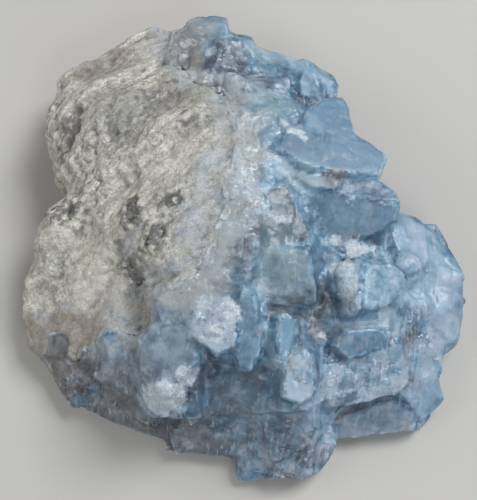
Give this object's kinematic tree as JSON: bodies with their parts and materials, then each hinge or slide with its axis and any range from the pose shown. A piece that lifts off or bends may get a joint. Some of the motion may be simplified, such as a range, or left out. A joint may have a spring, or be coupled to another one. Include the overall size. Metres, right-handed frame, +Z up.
{
  "type": "celestite crystal cluster",
  "caption": "Hand-sized cluster of blocky pale blue celestite crystals grown together over a grey-beige piece of marl, lying on its flat broken underside.",
  "frame": {"origin": "under the middle of the bounding box, on the surface that the cluster lies on", "axes": "+Z up, +X to the right as pictured, +Y away from the viewer, towards the dark crystals at the back"},
  "size_m": [0.125, 0.139, 0.0441],
  "materials": {
    "marl": "rough, weathered, with fine grey streaks along the bedding",
    "celestite": "clear to milky pale blue crystal, satin faces with bright broken spots",
    "grey_celestite": "dull smoky grey crystal"
  },
  "bodies": {
    "root": {"matrix": "marl", "crystals": "celestite", "rock_crystal_left": "grey_celestite", "rock_crystal_upper": "grey_celestite", "rock_crystal_right": "grey_celestite", "rock_crystal_middle": "grey_celestite", "rock_crystal_lower": "grey_celestite"}
  },
  "joints": []
}
